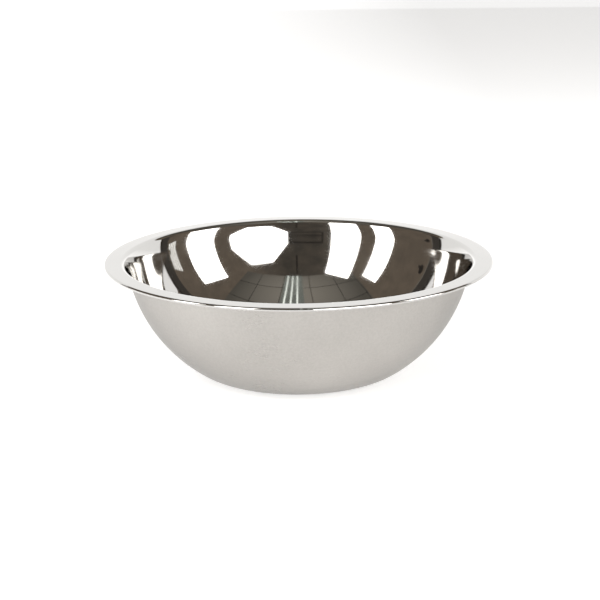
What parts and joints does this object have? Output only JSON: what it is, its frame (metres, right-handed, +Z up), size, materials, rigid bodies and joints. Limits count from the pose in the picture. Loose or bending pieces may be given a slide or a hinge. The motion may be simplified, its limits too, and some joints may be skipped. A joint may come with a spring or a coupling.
{
  "type": "mixing bowl",
  "caption": "Wide, shallow stainless steel mixing bowl with a flat base, a rounded wall and a flared lip that ends in a rolled bead.",
  "frame": {"origin": "centre of the flat base, on the surface the bowl stands on", "axes": "+Z up along the bowl's axis of revolution; X and Y are horizontal and interchangeable"},
  "size_m": [0.3366, 0.3366, 0.1016],
  "materials": {
    "stainless_steel": "mirror polished inside and on the lip, satin outside"
  },
  "bodies": {
    "root": {"bowl": "stainless_steel"}
  },
  "joints": []
}
